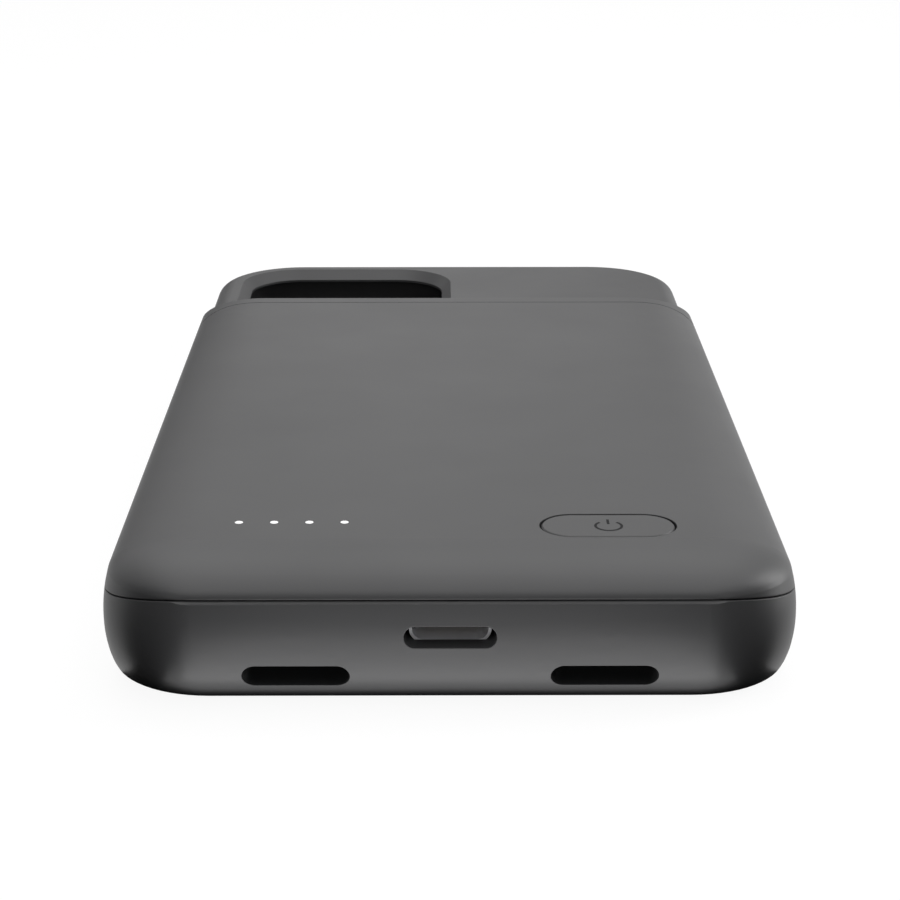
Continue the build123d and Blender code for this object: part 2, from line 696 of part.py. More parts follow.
def boost_coil():
    outline = Pos(COIL_X, COIL_Y, BOARD_TOP) * RectangleRounded(COIL_SIZE, COIL_SIZE, COIL_EDGE)
    return extrude(outline, COIL_HEIGHT)


def capacitors():
    pieces = []
    for number in range(CAPACITOR_COUNT):
        x = CAPACITOR_X + CAPACITOR_PITCH * (number - (CAPACITOR_COUNT - 1) / 2)
        x_span = (x - CAPACITOR_WIDTH / 2, x + CAPACITOR_WIDTH / 2)
        y_span = (CAPACITOR_Y - CAPACITOR_LENGTH / 2, CAPACITOR_Y + CAPACITOR_LENGTH / 2)
        pieces.append(block(x_span, y_span, (BOARD_TOP, BOARD_TOP + CAPACITOR_HEIGHT)))
    return pieces


def battery_connector():
    x_span = (-CONNECTOR_WIDTH / 2, CONNECTOR_WIDTH / 2)
    y_span = (BOARD_FAR_Y - CONNECTOR_LENGTH, BOARD_FAR_Y)
    housing = block(x_span, y_span, (BOARD_TOP, BOARD_TOP + CONNECTOR_HEIGHT))
    for side in (1, -1):
        mouth = Plane((side * LEAD_PITCH / 2, BOARD_FAR_Y, lead_height()), z_dir=(0, -1, 0))
        housing -= extrude(mouth * Circle(LEAD_RADIUS), CONNECTOR_LENGTH / 2)
    return housing


def lead_height():
    """Height of the battery leads above the lip, at the middle of the connector."""
    return BOARD_TOP + CONNECTOR_HEIGHT / 2


def battery_lead(side):
    start_y = BOARD_FAR_Y - CONNECTOR_LENGTH / 2
    start = Plane((side * LEAD_PITCH / 2, start_y, lead_height()), z_dir=(0, 1, 0))
    return extrude(start * Circle(LEAD_RADIUS), PROTECTION_NEAR_Y - start_y)


def board_screws():
    screws = []
    for side in (1, -1):
        x = side * SCREW_X
        head_top = BOARD_TOP + SCREW_HEAD_HEIGHT
        screw = rod_up(SCREW_RADIUS, x, SCREW_Y, TRAY_TOP - SCREW_LENGTH, BOARD_TOP)
        screw += rod_up(SCREW_HEAD_RADIUS, x, SCREW_Y, BOARD_TOP, head_top)
        for turn in (0, 90):
            arm = Rectangle(1.5 * SCREW_HEAD_RADIUS, SCREW_CROSS)
            screw -= extrude(Pos(x, SCREW_Y, head_top) * Rot(0, 0, turn) * arm, -SCREW_HEAD_HEIGHT / 2)
        screws.append(screw)
    return screws


# Power key and switch

def power_button():
    flange_top = COVER_INSIDE - BUTTON_PLAY
    flange_low = flange_top - BUTTON_FLANGE_HEIGHT
    cap_length = BUTTON_LENGTH - 2 * BUTTON_GAP
    cap_width = BUTTON_WIDTH - 2 * BUTTON_GAP
    flange_length = BUTTON_LENGTH + 2 * BUTTON_FLANGE
    flange_width = BUTTON_WIDTH + 2 * BUTTON_FLANGE
    cap = pill_up(cap_length, cap_width, BUTTON_X, BUTTON_Y, flange_low, CASE_THICKNESS)
    cap = chamfer(cap.faces().sort_by(Axis.Z)[-1].edges(), BUTTON_EDGE)
    flange = pill_up(flange_length, flange_width, BUTTON_X, BUTTON_Y, flange_low, flange_top)
    post = rod_up(BUTTON_POST_RADIUS, BUTTON_X, BUTTON_Y, PLUNGER_TOP + PLUNGER_CLEARANCE, flange_low)
    return cap + flange + post


def switch_body():
    x_span = (BUTTON_X - SWITCH_SIZE / 2, BUTTON_X + SWITCH_SIZE / 2)
    y_span = (BUTTON_Y - SWITCH_SIZE / 2, BUTTON_Y + SWITCH_SIZE / 2)
    top = BOARD_TOP + SWITCH_HEIGHT
    case = block(x_span, y_span, (BOARD_TOP, top))
    case = chamfer(case.edges().filter_by(Axis.Z), SWITCH_FLOOR)
    well_low = BOARD_TOP + SWITCH_FLOOR
    return case - rod_up(PLUNGER_RADIUS + PLUNGER_CLEARANCE, BUTTON_X, BUTTON_Y, well_low, top)


def switch_plunger():
    low = BOARD_TOP + SWITCH_FLOOR + BUTTON_TRAVEL + PLUNGER_STOP
    return rod_up(PLUNGER_RADIUS, BUTTON_X, BUTTON_Y, low, PLUNGER_TOP)


# Battery pack

def battery_cell():
    cell = block(
        (-CELL_WIDTH / 2, CELL_WIDTH / 2), (CELL_NEAR_Y, CELL_FAR_Y), (CELL_BOTTOM, CELL_TOP)
    )
    return fillet(cell.edges().filter_by(Axis.Y), CELL_EDGE)


def battery_tape():
    strips = []
    for side in (1, -1):
        x_span = (side * TAPE_X - TAPE_WIDTH / 2, side * TAPE_X + TAPE_WIDTH / 2)
        strips.append(block(x_span, (CELL_NEAR_Y, CELL_FAR_Y), (TRAY_TOP, CELL_BOTTOM)))
    return strips


def cushion_pad():
    near_y = CELL_Y - PAD_LENGTH / 2
    far_y = CELL_Y + PAD_LENGTH / 2
    return rounded_block(PAD_WIDTH / 2, near_y, far_y, PAD_CORNER, CELL_TOP, COVER_INSIDE)


def cell_tabs():
    tabs = []
    for side in (1, -1):
        x_span = (side * TAB_X - TAB_WIDTH / 2, side * TAB_X + TAB_WIDTH / 2)
        middle = (CELL_BOTTOM + CELL_TOP) / 2
        z_span = (middle - TAB_HEIGHT / 2, middle + TAB_HEIGHT / 2)
        tabs.append(block(x_span, (PROTECTION_FAR_Y, CELL_NEAR_Y), z_span))
    return tabs


def protection_board():
    x_span = (-PROTECTION_WIDTH / 2, PROTECTION_WIDTH / 2)
    return block(x_span, (PROTECTION_NEAR_Y, PROTECTION_FAR_Y), (TRAY_TOP, TRAY_TOP + PROTECTION_HEIGHT))


# Write one file for each piece, with the origin under the middle of the case

PIECES = {
    "lower_housing": lower_housing(),
    "back_cover": back_cover(),
    "soft_top_frame": soft_top_frame(),
    "socket_shell": socket_shell(),
    "socket_tongue": socket_tongue(),
    "plug_shell": plug_shell(),
    "plug_insert": plug_insert(),
    "plug_body": plug_body(),
    "plug_board": plug_board(),
    "link_pins": link_pins(),
    "main_board": main_board(),
    "led_chips": led_chips(),
    "light_guide": light_guide(),
    "charger_chip": charger_chip(),
    "boost_coil": boost_coil(),
    "capacitors": capacitors(),
    "battery_connector": battery_connector(),
    "positive_lead": battery_lead(1),
    "negative_lead": battery_lead(-1),
    "board_screws": board_screws(),
    "power_button": power_button(),
    "switch_body": switch_body(),
    "switch_plunger": switch_plunger(),
    "battery_cell": battery_cell(),
    "battery_tape": battery_tape(),
    "cushion_pad": cushion_pad(),
    "cell_tabs": cell_tabs(),
    "protection_board": protection_board(),
}

os.makedirs("parts", exist_ok=True)
for name, shape in PIECES.items():
    solids = shape if isinstance(shape, list) else [shape]
    placed = [Pos(0, -CASE_LENGTH / 2, 0) * solid for solid in solids]
    export_step(placed[0] if len(placed) == 1 else Compound(children=placed), f"parts/{name}.step")
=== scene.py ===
import math

import bpy
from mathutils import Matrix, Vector


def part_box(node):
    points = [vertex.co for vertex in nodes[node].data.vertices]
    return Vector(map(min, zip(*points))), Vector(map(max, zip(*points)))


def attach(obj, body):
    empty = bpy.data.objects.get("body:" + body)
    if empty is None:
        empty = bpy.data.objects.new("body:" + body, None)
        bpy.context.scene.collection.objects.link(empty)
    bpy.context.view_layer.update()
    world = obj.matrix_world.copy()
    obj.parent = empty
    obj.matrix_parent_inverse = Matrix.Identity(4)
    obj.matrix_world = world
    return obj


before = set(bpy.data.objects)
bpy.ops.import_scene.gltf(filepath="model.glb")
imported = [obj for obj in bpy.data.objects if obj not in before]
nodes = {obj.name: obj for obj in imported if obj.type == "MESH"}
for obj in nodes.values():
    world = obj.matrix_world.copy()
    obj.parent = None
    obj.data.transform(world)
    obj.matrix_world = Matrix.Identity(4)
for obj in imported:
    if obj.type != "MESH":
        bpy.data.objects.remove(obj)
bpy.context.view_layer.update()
bpy.ops.object.select_all(action="DESELECT")

# Hard body: the tray, end wall and far rim in one injection moulding of charcoal polycarbonate.
# A soft-touch lacquer covers the spark-eroded skin, so the eye sees an even satin grey with faint
# clouding, a very fine grit, and edges that the lacquer rounds a little.
MM = 0.001
CHARCOAL = "#2F2F30"
CHARCOAL_CLOUD = "#2C2C2D"
LACQUER_IOR = 1.45
LACQUER_EDGE_MM = 0.15
# The real grit is finer than a pixel, so it is drawn this coarse to show at all.
CHARCOAL_GRIT_MM = 0.22
CLOUD_DETAIL = 3.0
GRIT_DETAIL = 2.0
GRIT_STRENGTH = 0.5
GLOSS_SPREAD = 0.04
EDGE_SAMPLES = 6
# Sockets of the Mix node when it mixes colours.
COLOUR_A = 6
COLOUR_B = 7
COLOUR_OUT = 2


def linear(hex_colour):
    """sRGB hex to linear RGBA."""
    channels = [int(hex_colour[i:i + 2], 16) / 255 for i in (1, 3, 5)]
    return [c / 12.92 if c <= 0.04045 else ((c + 0.055) / 1.055) ** 2.4 for c in channels] + [1.0]


def add_node(tree, kind, settings=(), **links):
    """Adds a node, sets its inputs or options by name or number, and links its inputs."""
    node = tree.nodes.new(kind)
    for name, value in dict(settings).items():
        if isinstance(name, int) or name in node.inputs:
            node.inputs[name].default_value = value
        else:
            setattr(node, name, value)
    for name, source in links.items():
        socket = int(name[3:]) if name.startswith("in_") else name.replace("_", " ")
        tree.links.new(source, node.inputs[socket])
    return node


def new_material(name):
    """A material with an empty node tree."""
    material = bpy.data.materials.new(name)
    material.use_nodes = True
    material.node_tree.nodes.clear()
    return material, material.node_tree


def grained(name, base, cloud, cloud_mm, grit_mm, depth_mm, roughness, settings=(), edge_mm=0.0):
    """A finish with faint clouding of its colour and gloss, a fine grit, and rounded edges."""
    material, tree = new_material(name)
    place = add_node(tree, "ShaderNodeTexCoord").outputs["Object"]
    clouds = add_node(
        tree,
        "ShaderNodeTexNoise",
        {"Scale": 1 / (cloud_mm * MM), "Detail": CLOUD_DETAIL},
        Vector=place,
    )
    tint = add_node(
        tree,
        "ShaderNodeMix",
        {"data_type": "RGBA", COLOUR_A: linear(base), COLOUR_B: linear(cloud)},
        in_0=clouds.outputs["Fac"],
    )
    gloss = add_node(
        tree,
        "ShaderNodeMapRange",
        {"To Min": roughness - GLOSS_SPREAD, "To Max": roughness + GLOSS_SPREAD},
        Value=clouds.outputs["Fac"],
    )
    grit = add_node(
        tree,
        "ShaderNodeTexNoise",
        {"Scale": 1 / (grit_mm * MM), "Detail": GRIT_DETAIL},
        Vector=place,
    )
    skin = add_node(
        tree,
        "ShaderNodeBump",
        {"Strength": GRIT_STRENGTH, "Distance": depth_mm * MM},
        Height=grit.outputs["Fac"],
    )
    if edge_mm:
        edge = add_node(tree, "ShaderNodeBevel", {"samples": EDGE_SAMPLES, "Radius": edge_mm * MM})
        tree.links.new(edge.outputs["Normal"], skin.inputs["Normal"])
    shader = add_node(
        tree,
        "ShaderNodeBsdfPrincipled",
        settings,
        Base_Color=tint.outputs[COLOUR_OUT],
        Roughness=gloss.outputs["Result"],
        Normal=skin.outputs["Normal"],
    )
    add_node(tree, "ShaderNodeOutputMaterial", Surface=shader.outputs["BSDF"])
    return material


def dress(material, *names):
    """Puts one finish on each of the named nodes."""
    for name in names:
        nodes[name].data.materials.clear()
        nodes[name].data.materials.append(material)


soft_touch = grained(
    "soft_touch_polycarbonate", CHARCOAL, CHARCOAL_CLOUD,
    cloud_mm=18.0, grit_mm=CHARCOAL_GRIT_MM, depth_mm=0.004, roughness=0.46,
    settings={"IOR": LACQUER_IOR}, edge_mm=LACQUER_EDGE_MM,
)
dress(soft_touch, "lower_housing")

# Charging socket: a shell drawn from stainless strip and blasted dull, set back behind the hole in
# the end wall, round a black tongue of glass-filled polymer. Blasting breaks up the steel's mirror,
# so it shows as a pale grey bar with little reflection left, and the tongue is dull black.
blasted_steel = grained(
    "blasted_stainless_steel", "#D2D2D4", "#C6C6C9",
    cloud_mm=3.0, grit_mm=0.15, depth_mm=0.003, roughness=0.58, settings={"Metallic": 0.2},
)
dress(blasted_steel, "socket_shell")
black_polymer = grained(
    "black_glass_filled_polymer", "#1C1C1D", "#171718",
    cloud_mm=3.0, grit_mm=0.2, depth_mm=0.004, roughness=0.5,
)
dress(black_polymer, "socket_tongue")

# Socket contacts: twelve gold-plated strips on each face of the tongue, stamped and moulded in,
# so that only a little of their thickness stands out. Warm bright metal with fine rolling marks.
CONTACT_COUNT = 12
CONTACT_PITCH_MM = 0.5
CONTACT_WIDTH_MM = 0.25
CONTACT_LENGTH_MM = 2.6
CONTACT_THICKNESS_MM = 0.06
CONTACT_SETBACK_MM = 0.4
CONTACT_EDGE_MM = 0.015
TONGUE_HALF_MM = 0.35
gold_plate = grained(
    "gold_plated_bronze", "#D9B35C", "#CBA24C",
    cloud_mm=1.5, grit_mm=0.08, depth_mm=0.002, roughness=0.3, settings={"Metallic": 1.0},
)
tongue_low, tongue_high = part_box("socket_tongue")
tongue_middle = (tongue_low[2] + tongue_high[2]) / 2
contact_y = tongue_low[1] + (CONTACT_SETBACK_MM + CONTACT_LENGTH_MM / 2) * MM
bpy.ops.mesh.primitive_cube_add(size=1, location=(0, 0, 0))
strip = bpy.context.object
bpy.ops.object.mode_set(mode="EDIT")
bpy.ops.transform.resize(
    value=(CONTACT_WIDTH_MM * MM, CONTACT_LENGTH_MM * MM, CONTACT_THICKNESS_MM * MM)
)
bpy.ops.mesh.bevel(offset=CONTACT_EDGE_MM * MM, segments=1)
bpy.ops.object.mode_set(mode="OBJECT")
contacts = []
for face in (1, -1):
    for number in range(CONTACT_COUNT):
        contact = strip.copy()
        contact.data = strip.data.copy()
        bpy.context.scene.collection.objects.link(contact)
        contact.location = (
            CONTACT_PITCH_MM * (number - (CONTACT_COUNT - 1) / 2) * MM,
            contact_y,
            tongue_middle + face * TONGUE_HALF_MM * MM,
        )
        contacts.append(contact)
bpy.data.objects.remove(strip)
bpy.ops.object.select_all(action="DESELECT")
for contact in contacts:
    contact.select_set(True)
bpy.context.view_layer.objects.active = contacts[0]
bpy.ops.object.join()
socket_contacts = bpy.context.object
socket_contacts.name = "socket_contacts"
bpy.ops.object.transform_apply(location=True, rotation=True, scale=True)
socket_contacts.data.materials.append(gold_plate)
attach(socket_contacts, "case")
bpy.ops.object.select_all(action="DESELECT")

# Phone plug: a nickel-plated steel shell and a black insert, moulded into a black block that is
# pressed into the pocket's end wall. The plate is brighter than the socket's blasted steel.
nickel_plate = grained(
    "nickel_plated_steel", "#C2C0BB", "#B5B3AE",
    cloud_mm=3.0, grit_mm=0.12, depth_mm=0.002, roughness=0.3, settings={"Metallic": 1.0},
)
dress(nickel_plate, "plug_shell")
dress(black_polymer, "plug_insert", "plug_body")

# Boards: glass-epoxy laminate under a glossy green solder mask. Copper tracks beneath the mask show
# as paler green lines that stand out a little. Gold-plated pins link the plug's board to the
# main one.
MASK_GREEN = "#1D4A33"
MASK_TRACK = "#2E6A48"
TRACK_PITCH_MM = 2.566
TRACK_WANDER = 1.5
TRACK_WANDER_SCALE = 0.4
TRACK_EDGE = (0.72, 0.78)
TRACK_HEIGHT_MM = 0.02
TRACK_STRENGTH = 0.4
# At a scale of 1 the wave texture turns by this many radians in a metre.
WAVE_TURN = 20.0
solder_mask, tree = new_material("green_solder_mask")
place = add_node(tree, "ShaderNodeTexCoord").outputs["Object"]
tracks = add_node(
    tree,
    "ShaderNodeTexWave",
    {
        "Scale": 2 * math.pi / (WAVE_TURN * TRACK_PITCH_MM * MM),
        "Distortion": TRACK_WANDER,
        "Detail Scale": TRACK_WANDER_SCALE,
    },
    Vector=place,
)
track_edge = add_node(
    tree,
    "ShaderNodeMapRange",
    {"From Min": TRACK_EDGE[0], "From Max": TRACK_EDGE[1]},
    Value=tracks.outputs["Fac"],
)
mask_tint = add_node(
    tree,
    "ShaderNodeMix",
    {"data_type": "RGBA", COLOUR_A: linear(MASK_GREEN), COLOUR_B: linear(MASK_TRACK)},
    in_0=track_edge.outputs["Result"],
)
mask_skin = add_node(
    tree,
    "ShaderNodeBump",
    {"Strength": TRACK_STRENGTH, "Distance": TRACK_HEIGHT_MM * MM},
    Height=track_edge.outputs["Result"],
)
mask_shader = add_node(
    tree,
    "ShaderNodeBsdfPrincipled",
    {"Roughness": 0.28, "IOR": 1.5},
    Base_Color=mask_tint.outputs[COLOUR_OUT],
    Normal=mask_skin.outputs["Normal"],
)
add_node(tree, "ShaderNodeOutputMaterial", Surface=mask_shader.outputs["BSDF"])
dress(solder_mask, "main_board", "plug_board", "protection_board")
dress(gold_plate, "link_pins")

# Parts on the main board, soldered or screwed down: light chips in matt white ceramic, a charger
# chip in dull black epoxy, a boost coil in grainy grey ferrite, a connector in cream nylon and two
# screws with a bright zinc plate.
NYLON_IOR = 1.53
white_ceramic = grained(
    "white_alumina", "#E9E6DC", "#DEDACF",
    cloud_mm=0.8, grit_mm=0.1, depth_mm=0.002, roughness=0.4,
)
dress(white_ceramic, "led_chips")
chip_epoxy = grained(
    "black_moulded_epoxy", "#202022", "#1A1A1B",
    cloud_mm=2.0, grit_mm=0.06, depth_mm=0.004, roughness=0.6,
)
dress(chip_epoxy, "charger_chip")
ferrite = grained(
    "pressed_ferrite", "#5E5E61", "#525255",
    cloud_mm=1.0, grit_mm=0.1, depth_mm=0.01, roughness=0.65,
)
dress(ferrite, "boost_coil")
natural_nylon = grained(
    "natural_nylon", "#E8E4D6", "#DFDACA",
    cloud_mm=3.0, grit_mm=0.2, depth_mm=0.004, roughness=0.45, settings={"IOR": NYLON_IOR},
)
dress(natural_nylon, "battery_connector")
zinc_plate = grained(
    "zinc_plated_steel", "#BFC1C4", "#B0B3B8",
    cloud_mm=0.8, grit_mm=0.08, depth_mm=0.003, roughness=0.35, settings={"Metallic": 1.0},
)
dress(zinc_plate, "board_screws")

# Capacitors: fired blocks of tan ceramic, soldered to the main board. Both ends are dipped in tin,
# which shows as a bright metal band against the satin ceramic.
CERAMIC = "#A88A66"
TIN = "#C9C9C9"
TIN_BAND_MM = 0.4
capacitor_low, capacitor_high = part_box("capacitors")
capacitor_middle = (capacitor_low[1] + capacitor_high[1]) / 2
bare_half = (capacitor_high[1] - capacitor_low[1]) / 2 - TIN_BAND_MM * MM
ceramic, tree = new_material("tan_ceramic_with_tin_ends")
place = add_node(tree, "ShaderNodeTexCoord").outputs["Object"]
axes = add_node(tree, "ShaderNodeSeparateXYZ", Vector=place)
from_middle = add_node(
    tree,
    "ShaderNodeMath",
    {"operation": "SUBTRACT", 1: capacitor_middle},
    in_0=axes.outputs["Y"],
)
distance = add_node(tree, "ShaderNodeMath", {"operation": "ABSOLUTE"}, in_0=from_middle.outputs[0])
at_end = add_node(
    tree,
    "ShaderNodeMath",
    {"operation": "GREATER_THAN", 1: bare_half},
    in_0=distance.outputs[0],
)
ceramic_tint = add_node(
    tree,
    "ShaderNodeMix",
    {"data_type": "RGBA", COLOUR_A: linear(CERAMIC), COLOUR_B: linear(TIN)},
    in_0=at_end.outputs[0],
)
ceramic_shader = add_node(
    tree,
    "ShaderNodeBsdfPrincipled",
    {"Roughness": 0.4},
    Base_Color=ceramic_tint.outputs[COLOUR_OUT],
    Metallic=at_end.outputs[0],
)
add_node(tree, "ShaderNodeOutputMaterial", Surface=ceramic_shader.outputs["BSDF"])
dress(ceramic, "capacitors")

# Switch under the key: a moulded case of dull black nylon, soldered to the main board, round a
# plunger of cream nylon that the key pushes down.
black_nylon = grained(
    "black_nylon", "#242425", "#1E1E1F",
    cloud_mm=2.0, grit_mm=0.15, depth_mm=0.004, roughness=0.5, settings={"IOR": NYLON_IOR},
)
dress(black_nylon, "switch_body")
dress(natural_nylon, "switch_plunger")

# Battery pack: a pouch of aluminium laminate, dull silver with slack wrinkles, stuck to the tray by
# two strips of tape. Nickel tabs join it to its board, two sleeved leads run to the connector, and
# a pad of black foam keeps it from rattling under the cover.
SLEEVE_IOR = 1.53
pouch_foil = grained(
    "aluminium_laminate_foil", "#B9BBBF", "#A9ACB1",
    cloud_mm=16.0, grit_mm=2.5, depth_mm=0.12, roughness=0.42, settings={"Metallic": 0.75},
)
dress(pouch_foil, "battery_cell")
dress(nickel_plate, "cell_tabs")
paper_tape = grained(
    "double_sided_tape", "#E2E0D8", "#D8D6CD",
    cloud_mm=4.0, grit_mm=0.3, depth_mm=0.01, roughness=0.7,
)
dress(paper_tape, "battery_tape")
cell_foam = grained(
    "closed_cell_foam", "#2A2A2C", "#222224",
    cloud_mm=3.0, grit_mm=0.35, depth_mm=0.06, roughness=0.9,
)
dress(cell_foam, "cushion_pad")
red_sleeve = grained(
    "red_lead_insulation", "#B3261E", "#A52119",
    cloud_mm=2.0, grit_mm=0.2, depth_mm=0.003, roughness=0.4, settings={"IOR": SLEEVE_IOR},
)
dress(red_sleeve, "positive_lead")
black_sleeve = grained(
    "black_lead_insulation", "#1E1E1F", "#19191A",
    cloud_mm=2.0, grit_mm=0.2, depth_mm=0.003, roughness=0.4, settings={"IOR": SLEEVE_IOR},
)
dress(black_sleeve, "negative_lead")

# Light guide: one acrylic moulding with a diffusing filler, pressed up into four holes of the
# cover. Its tips are the white dots, lit from below by the chips, so they glow a little.
ACRYLIC_IOR = 1.49
TIP_GLOW = 0.15
diffusing_acrylic = grained(
    "diffusing_acrylic", "#F6F6F6", "#EDEDED",
    cloud_mm=2.0, grit_mm=0.1, depth_mm=0.002, roughness=0.3,
    settings={
        "IOR": ACRYLIC_IOR,
        "Emission Color": linear("#FFFFFF"),
        "Emission Strength": TIP_GLOW,
    },
)
dress(diffusing_acrylic, "light_guide")

# Back cover: the pillow-shaped lid over the battery, moulded and lacquered as the body is, and
# snapped onto it along the seam.
dress(soft_touch, "back_cover")

# Power key: a flush pill in the cover's finish, which slides down in its recess. A ring and a bar
# are pad-printed on it as a thin film of dull black ink.
MARK_PLACE_MM = (17.76, -66.0)
MARK_RADIUS_MM = 1.62
MARK_LINE_MM = 0.3
MARK_GAP = math.radians(40)
MARK_BAR_MM = (0.6, 2.05)
MARK_INK_MM = 0.015
MARK_STEPS = 90
dress(soft_touch, "power_button")
ink = grained(
    "pad_print_ink", "#1E1E1F", "#1A1A1B",
    cloud_mm=1.0, grit_mm=0.1, depth_mm=0.002, roughness=0.8,
    settings={"Specular IOR Level": 0.15},
)
key_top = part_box("power_button")[1][2]
mark_x, mark_y = [c * MM for c in MARK_PLACE_MM]
bpy.ops.mesh.primitive_circle_add(
    vertices=MARK_STEPS, radius=MARK_RADIUS_MM * MM, fill_type="NGON", location=(0, 0, 0)
)
power_mark = bpy.context.object
bpy.ops.object.mode_set(mode="EDIT")
bpy.ops.mesh.inset(thickness=MARK_LINE_MM * MM, depth=0)
bpy.ops.mesh.delete(type="FACE")
bpy.ops.object.mode_set(mode="OBJECT")
for face in power_mark.data.polygons:
    face.select = abs(math.atan2(face.center.x, face.center.y)) < MARK_GAP
bpy.ops.object.mode_set(mode="EDIT")
bpy.ops.mesh.select_mode(type="FACE")
bpy.ops.mesh.delete(type="FACE")
bpy.ops.object.mode_set(mode="OBJECT")
bpy.ops.object.select_all(action="DESELECT")
bpy.ops.mesh.primitive_plane_add(size=1, location=(0, 0, 0))
bar_low, bar_high = MARK_BAR_MM
bpy.ops.object.mode_set(mode="EDIT")
bpy.ops.transform.resize(value=(MARK_LINE_MM * MM, (bar_high - bar_low) * MM, 1))
bpy.ops.transform.translate(value=(0, (bar_low + bar_high) / 2 * MM, 0))
bpy.ops.object.mode_set(mode="OBJECT")
power_mark.select_set(True)
bpy.context.view_layer.objects.active = power_mark
bpy.ops.object.join()
power_mark.name = "power_mark"
power_mark.location = (mark_x, mark_y, key_top)
bpy.ops.object.transform_apply(location=True, rotation=True, scale=True)
film = power_mark.modifiers.new("ink", "SOLIDIFY")
film.thickness = MARK_INK_MM * MM
film.offset = 1.0
bpy.ops.object.modifier_apply(modifier=film.name)
power_mark.data.materials.clear()
power_mark.data.materials.append(ink)
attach(power_mark, "power_button")
bpy.ops.object.select_all(action="DESELECT")

# Soft upper frame: one moulding in charcoal thermoplastic polyurethane, bonded to the rim of the
# hard body. Its colour matches the body, a little duller, with the same fine grit from the mould.
polyurethane = grained(
    "satin_polyurethane", "#2E2E2F", "#2B2B2C",
    cloud_mm=14.0, grit_mm=0.25, depth_mm=0.005, roughness=0.48,
    settings={"IOR": LACQUER_IOR}, edge_mm=LACQUER_EDGE_MM,
)
dress(polyurethane, "soft_top_frame")

# Floor: a sheet of white paper under the case. Most of its white is a glow that only the camera and
# reflections see, so it puts no light on the case, and the rest of it takes the case's soft shadow.
FLOOR_SIZE_M = 6.0
FLOOR_GAP_MM = 0.1
PAPER_GLOW = 0.92
PAPER_SHADE = "#585858"


def seen_directly(tree):
    """One for camera, mirrored and refracted rays, nought for the light on the object."""
    path = add_node(tree, "ShaderNodeLightPath")
    seen = path.outputs["Is Camera Ray"]
    for ray in ("Is Glossy Ray", "Is Transmission Ray"):
        either = add_node(
            tree,
            "ShaderNodeMath",
            {"operation": "MAXIMUM"},
            in_0=seen,
            in_1=path.outputs[ray],
        )
        seen = either.outputs[0]
    return seen


bpy.ops.mesh.primitive_plane_add(size=FLOOR_SIZE_M, location=(0, 0, -FLOOR_GAP_MM * MM))
floor = bpy.context.object
floor.name = "floor"
paper, tree = new_material("white_paper")
glow_level = add_node(
    tree,
    "ShaderNodeMath",
    {"operation": "MULTIPLY", 1: PAPER_GLOW},
    in_0=seen_directly(tree),
)
glow = add_node(tree, "ShaderNodeEmission", Strength=glow_level.outputs[0])
sheet = add_node(tree, "ShaderNodeBsdfDiffuse", {"Color": linear(PAPER_SHADE)})
both = add_node(tree, "ShaderNodeAddShader", in_0=glow.outputs[0], in_1=sheet.outputs[0])
add_node(tree, "ShaderNodeOutputMaterial", Surface=both.outputs[0])
floor.data.materials.append(paper)

# Studio light: a large softbox overhead, a small card on the floor in front that lifts the end
# wall, a fill from the camera's side that gives no reflection, and a strip for the right edge.
# The room itself is dim, and white only where it is seen.
ROOM_LIGHT = 0.06
world = bpy.data.worlds.new("studio")
bpy.context.scene.world = world
world.use_nodes = True
tree = world.node_tree
tree.nodes.clear()
level = add_node(
    tree,
    "ShaderNodeMapRange",
    {"To Min": ROOM_LIGHT, "To Max": 1.0},
    Value=seen_directly(tree),
)
sky = add_node(
    tree,
    "ShaderNodeBackground",
    {"Color": linear("#FFFFFF")},
    Strength=level.outputs["Result"],
)
add_node(tree, "ShaderNodeOutputWorld", Surface=sky.outputs[0])


def softbox(name, size, place, target, watts):
    """A rectangular soft lamp at a place, aimed at a target, with its sizes in millimetres."""
    lamp = bpy.data.lights.new(name, "AREA")
    lamp.shape = "RECTANGLE"
    lamp.size = size[0] * MM
    lamp.size_y = size[1] * MM
    lamp.energy = watts
    holder = bpy.data.objects.new(name, lamp)
    bpy.context.scene.collection.objects.link(holder)
    holder.location = [c * MM for c in place]
    aim = Vector(target) - Vector(place)
    holder.rotation_euler = aim.to_track_quat("-Z", "Y").to_euler()
    holder.visible_camera = False
    return holder


softbox(
    "top_softbox",
    size=(900, 1900), place=(0, -60, 800), target=(0, -60, 0), watts=9.8,
)
softbox(
    "front_card",
    size=(60, 61.2), place=(0, -109.2, 0.3), target=(0, -109.2, 100), watts=0.0212,
)
front_fill = softbox(
    "front_fill",
    size=(120, 80), place=(0, -640, 210), target=(0, -80, 9), watts=0.6,
)
front_fill.visible_glossy = False
softbox(
    "right_strip",
    size=(200, 500), place=(450, 60, 160), target=(40, 0, 8), watts=1.9,
)

# Black flags: sheets of velvet that only reflections see. Floor and side sheets by the front card
# give the dark bands down the near corners. The one under the case is a painted shadow: a dark
# sheet where there is only the shade at the case's foot, which gives the dark line along it. One
# behind the camera gives the darker upper end wall, and two far behind the case the darker
# shoulders.
FLAG_HEIGHT_MM = 160.0
# The axis and the direction of the edge that a standing flag rises from.
FLAG_EDGES = {"left": (0, -1), "right": (0, 1), "back": (1, 1)}
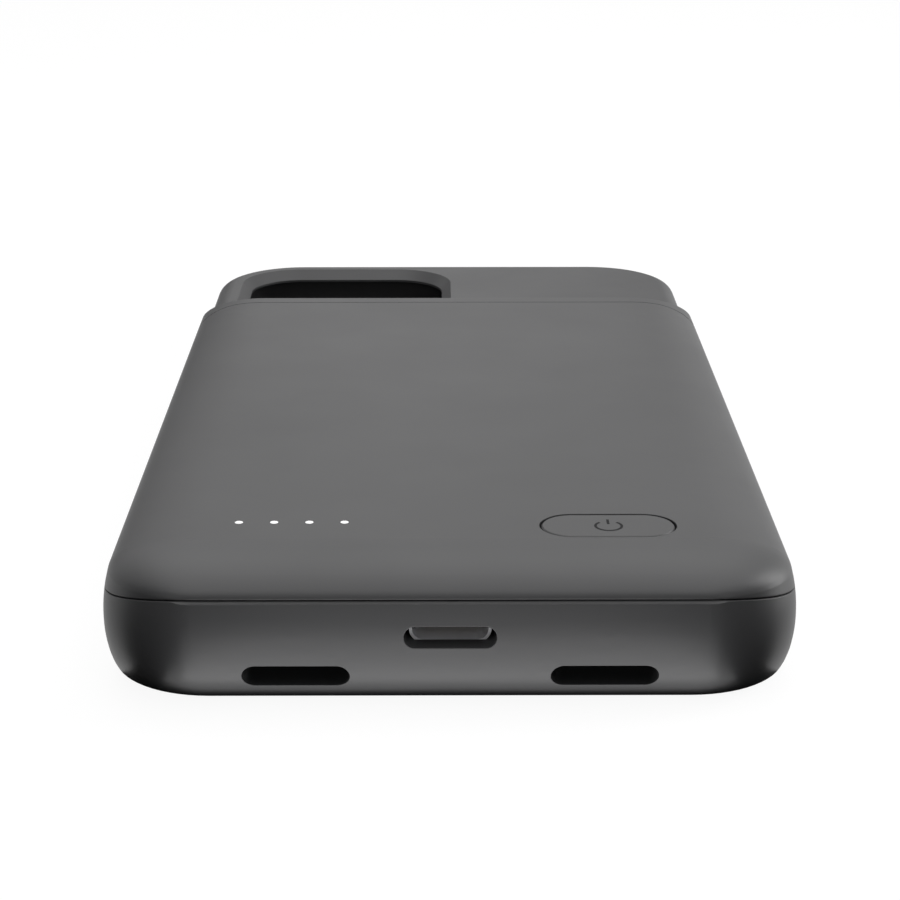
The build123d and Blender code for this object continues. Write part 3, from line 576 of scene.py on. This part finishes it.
# Low and high corner on the floor, and the edge that rises.
FLAGS_MM = {
    "left_floor_flag": ((-260.0, -420.0, 1.0), (-32.0, -74.5, 1.0), None),
    "left_side_flag": ((-261.0, -420.0, 1.0), (-260.0, -100.0, 1.0), "left"),
    "right_floor_flag": ((32.0, -420.0, 1.0), (260.0, -74.5, 1.0), None),
    "right_side_flag": ((260.0, -420.0, 1.0), (261.0, -100.0, 1.0), "right"),
    # Painted shadow: a dark sheet under the case, seen only in reflections, for the shade at its
    # foot.
    "painted_foot_shadow_flag": ((-37.2, -76.9, 0.2), (37.2, 77.5, 0.2), None),
    "back_flag": ((-490.0, 620.0, 0.0), (-98.0, 621.0, 0.0), "back"),
    "front_flag": ((-260.0, -421.0, 0.0), (260.0, -420.0, 0.0), "back"),
    "back_right_flag": ((70.0, 620.0, 0.0), (140.0, 621.0, 0.0), "back"),
}
velvet, tree = new_material("black_velvet")
pile = add_node(tree, "ShaderNodeBsdfDiffuse", {"Color": linear("#050505")})
add_node(tree, "ShaderNodeOutputMaterial", Surface=pile.outputs[0])
for name, (flag_low, flag_high, rising) in FLAGS_MM.items():
    middle = [(low + high) / 2 * MM for low, high in zip(flag_low, flag_high)]
    width, length, _ = [(high - low) * MM for low, high in zip(flag_low, flag_high)]
    bpy.ops.object.select_all(action="DESELECT")
    bpy.ops.mesh.primitive_plane_add(size=1, location=middle)
    flag = bpy.context.object
    flag.name = name
    flag.scale = (width, length, 1)
    bpy.ops.object.transform_apply(location=True, rotation=True, scale=True)
    if rising:
        axis, direction = FLAG_EDGES[rising]
        for corner in flag.data.vertices:
            corner.select = (corner.co[axis] - middle[axis]) * direction > 0
        for edge in flag.data.edges:
            edge.select = all(flag.data.vertices[v].select for v in edge.vertices)
        for face in flag.data.polygons:
            face.select = False
        bpy.ops.object.mode_set(mode="EDIT")
        bpy.ops.mesh.extrude_region_move(
            TRANSFORM_OT_translate={"value": (0, 0, FLAG_HEIGHT_MM * MM)}
        )
        bpy.ops.object.mode_set(mode="OBJECT")
    flag.data.materials.append(velvet)
    flag.visible_camera = False
    flag.visible_diffuse = False
    flag.visible_transmission = False
    flag.visible_shadow = False
bpy.ops.object.select_all(action="DESELECT")

# Camera: a 90 mm lens on the axis of the case, about 0.3 m from its middle on the charging side.
# It looks down by about 18 degrees, and its place was fitted to the photo's outline.
CAMERA_PLACE_MM = (-1.07, -302.6, 104.24)
CAMERA_PITCH_DEG = 18.415
CAMERA_YAW_DEG = 0.266
CAMERA_LENS_MM = 90.3
CAMERA_SENSOR_MM = 36.0
CAMERA_NEAREST_M = 0.01
CAMERA_FARTHEST_M = 50.0
camera_data = bpy.data.cameras.new("camera")
camera_data.lens = CAMERA_LENS_MM
camera_data.sensor_width = CAMERA_SENSOR_MM
camera_data.clip_start = CAMERA_NEAREST_M
camera_data.clip_end = CAMERA_FARTHEST_M
camera = bpy.data.objects.new("camera", camera_data)
bpy.context.scene.collection.objects.link(camera)
camera.location = [c * MM for c in CAMERA_PLACE_MM]
camera.rotation_euler = (math.radians(90 - CAMERA_PITCH_DEG), 0, math.radians(-CAMERA_YAW_DEG))
bpy.context.scene.camera = camera
bpy.context.scene.view_settings.view_transform = "Standard"
